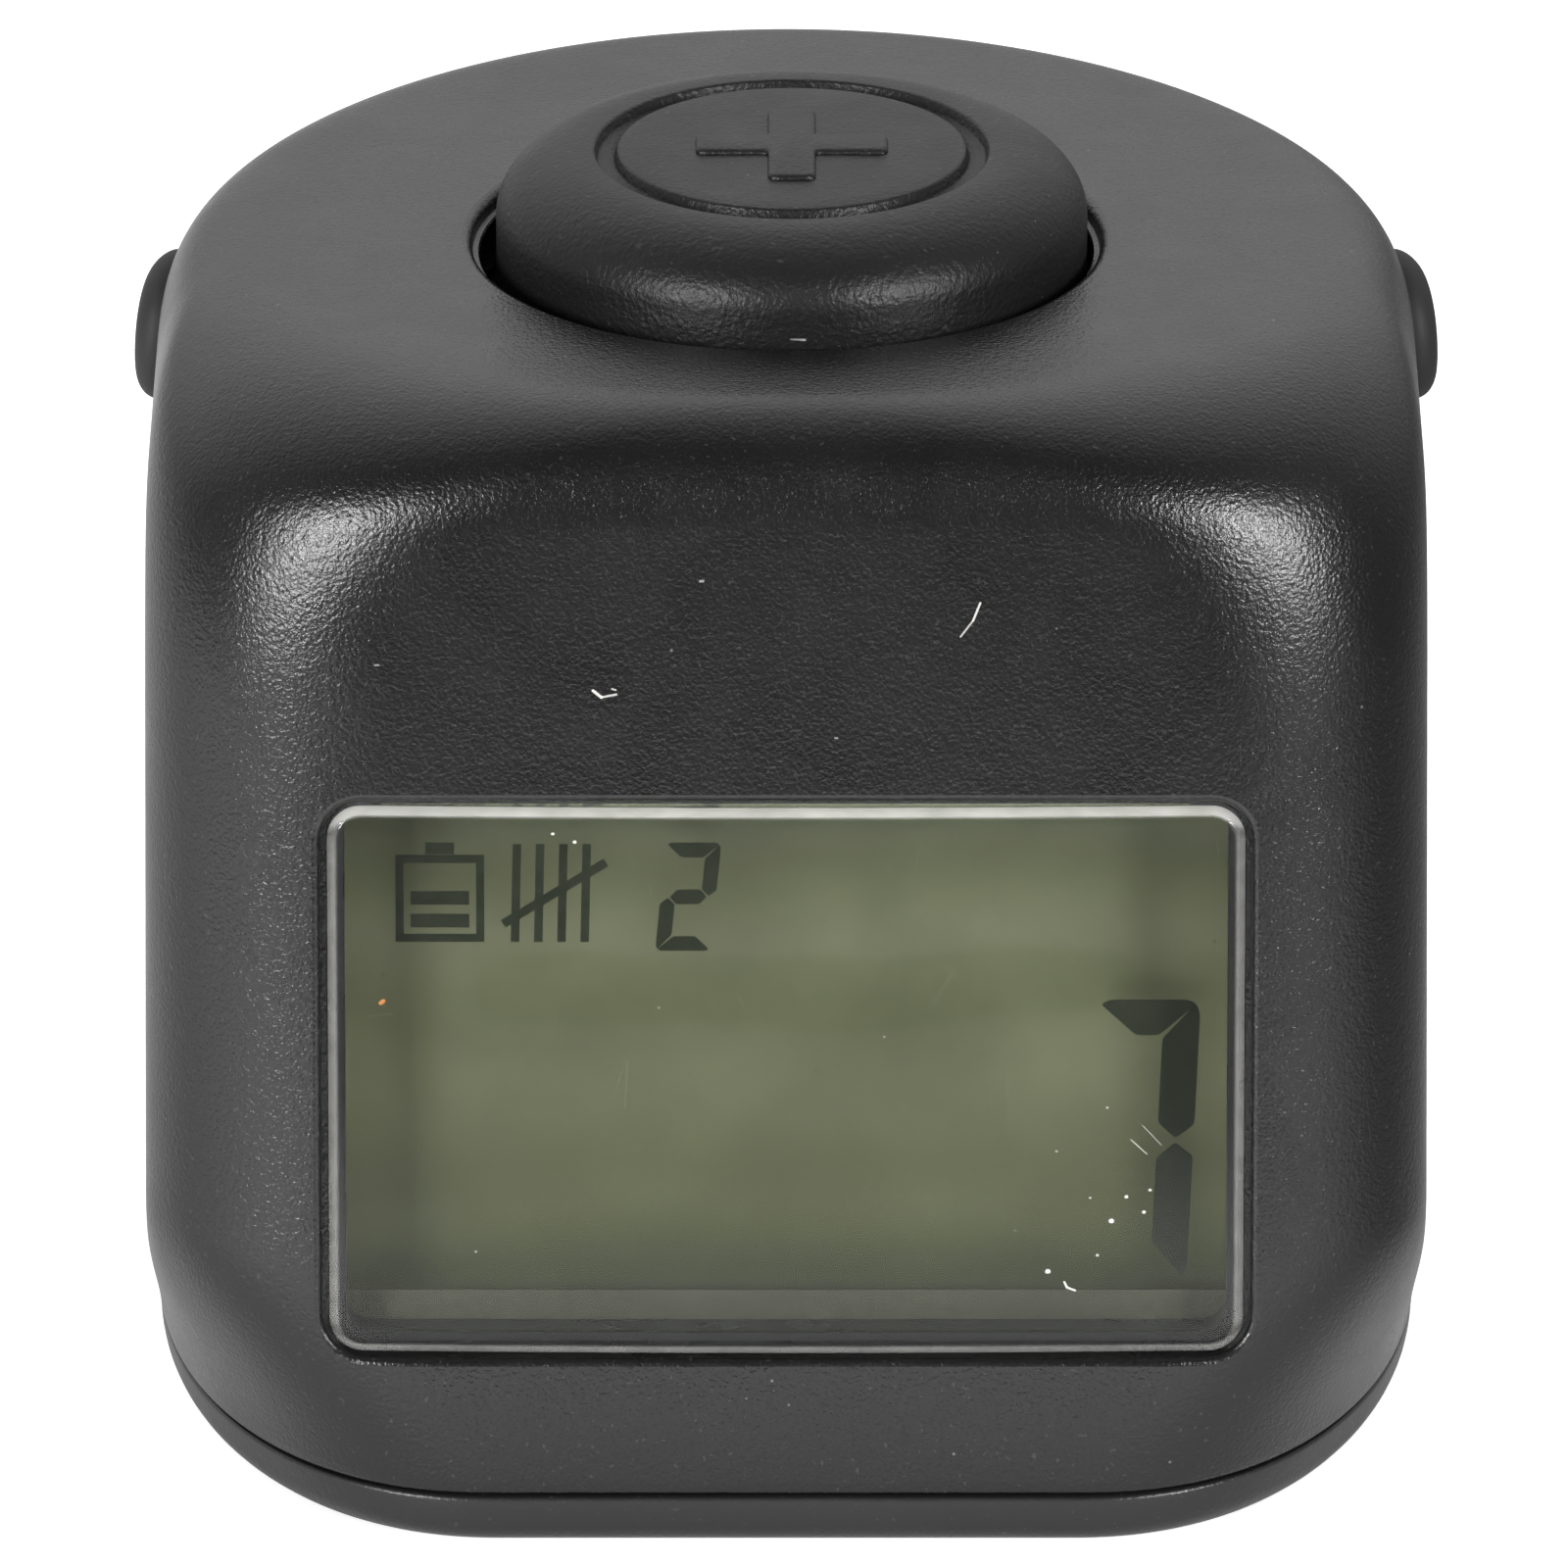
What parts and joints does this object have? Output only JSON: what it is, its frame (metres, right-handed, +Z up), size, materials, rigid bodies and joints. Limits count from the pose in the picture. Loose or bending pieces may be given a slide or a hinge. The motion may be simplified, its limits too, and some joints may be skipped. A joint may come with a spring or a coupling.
{
  "type": "digital finger tally counter",
  "caption": "Pocket digital tally counter with a leaning LCD face, a large round press button on top and small side buttons, run from a button cell in the base.",
  "frame": {"origin": "middle of the base's outline, on the plane the base rests on", "axes": "+Z up along the count button's travel, -Y towards the display face, +X to the right of a viewer facing the display"},
  "size_m": [0.0356, 0.0354, 0.0336],
  "materials": {
    "case_plastic": "fine spark-eroded satin texture, near-black warm grey",
    "base_plastic": "fine satin texture, near-black grey",
    "button_plastic": "matte moulded dark grey",
    "button_rubber": "matte black rubber",
    "lens_clear": "clear polished acrylic",
    "adhesive_black": "black foam tape",
    "frame_plastic": "moulded dark plastic",
    "polarizer_film": "neutral film",
    "lcd_glass": "clear float glass",
    "lcd_reflector": "grey-green reflective film",
    "zebra_rubber": "striped conductive rubber",
    "circuit_board": "green solder mask",
    "epoxy_black": "cured black epoxy",
    "ceramic_chip": "tan ceramic",
    "ribbon_film": "amber film",
    "switch_plastic": "moulded black plastic",
    "plunger_plastic": "moulded ivory plastic",
    "zinc_steel": "zinc plated",
    "cell_steel": "polished steel",
    "nickel_strip": "nickel plated strip",
    "spring_steel": "spring wire",
    "wire_black": "black insulation",
    "wire_red": "red insulation"
  },
  "bodies": {
    "case": {"housing": "case_plastic", "base_cover": "base_plastic", "case_screw_front_left": "zinc_steel", "case_screw_front_right": "zinc_steel", "case_screw_rear_left": "zinc_steel", "case_screw_rear_right": "zinc_steel", "button_cell": "cell_steel", "contact_negative": "nickel_strip", "contact_positive": "nickel_strip", "wire_negative": "wire_black", "wire_positive": "wire_red", "count_spring": "spring_steel", "count_switch_body": "switch_plastic", "main_pcb": "circuit_board", "pcb_screw_left": "zinc_steel", "pcb_screw_right": "zinc_steel", "side_switch_body_left": "switch_plastic", "side_switch_body_right": "switch_plastic", "lcd_lens": "lens_clear", "lens_adhesive": "adhesive_black", "lcd_frame": "frame_plastic", "lcd_polarizer": "polarizer_film", "lcd_front_glass": "lcd_glass", "lcd_rear_glass": "lcd_glass", "lcd_reflector": "lcd_reflector", "zebra_lower": "zebra_rubber", "zebra_upper": "zebra_rubber", "display_pcb": "circuit_board", "display_screw_left": "zinc_steel", "display_screw_right": "zinc_steel", "controller_glob": "epoxy_black", "crystal": "cell_steel", "smd_capacitor": "ceramic_chip", "smd_resistor": "epoxy_black", "ribbon_cable": "ribbon_film"},
    "count_button": {"count_button": "button_plastic"},
    "count_plunger": {"count_switch_plunger": "plunger_plastic"},
    "left_button": {"side_button_left": "button_rubber"},
    "left_plunger": {"side_switch_plunger_left": "plunger_plastic"},
    "right_button": {"side_button_right": "button_rubber"},
    "right_plunger": {"side_switch_plunger_right": "plunger_plastic"},
    "battery_door": {"battery_door": "base_plastic", "battery_door_screw": "zinc_steel"}
  },
  "joints": [
    {"name": "count_press", "type": "slide", "parent": "case", "child": "count_button", "axis": [0, 0, -1], "range_m": [0, 0.0008], "stiffness_N_per_m": 60, "springref_m": -0.0003, "deforming": ["count_spring"]},
    {"name": "count_plunger_press", "type": "slide", "parent": "case", "child": "count_plunger", "axis": [0, 0, -1], "range_m": [0, 0.0008]},
    {"name": "left_press", "type": "slide", "parent": "case", "child": "left_button", "axis": [1, 0, 0], "range_m": [0, 0.0004], "stiffness_N_per_m": 40, "springref_m": -0.0001},
    {"name": "left_plunger_press", "type": "slide", "parent": "case", "child": "left_plunger", "axis": [1, 0, 0], "range_m": [0, 0.0004]},
    {"name": "right_press", "type": "slide", "parent": "case", "child": "right_button", "axis": [-1, 0, 0], "range_m": [0, 0.0004], "stiffness_N_per_m": 40, "springref_m": -0.0001},
    {"name": "right_plunger_press", "type": "slide", "parent": "case", "child": "right_plunger", "axis": [-1, 0, 0], "range_m": [0, 0.0004]},
    {"name": "door_lift_off", "type": "slide", "parent": "case", "child": "battery_door", "axis": [0, 0, -1], "range_m": [0, 0.015]}
  ],
  "couplings": [
    {"joint": "count_plunger_press", "follows": "count_press", "ratio": 1},
    {"joint": "left_plunger_press", "follows": "left_press", "ratio": 1},
    {"joint": "right_plunger_press", "follows": "right_press", "ratio": 1}
  ]
}
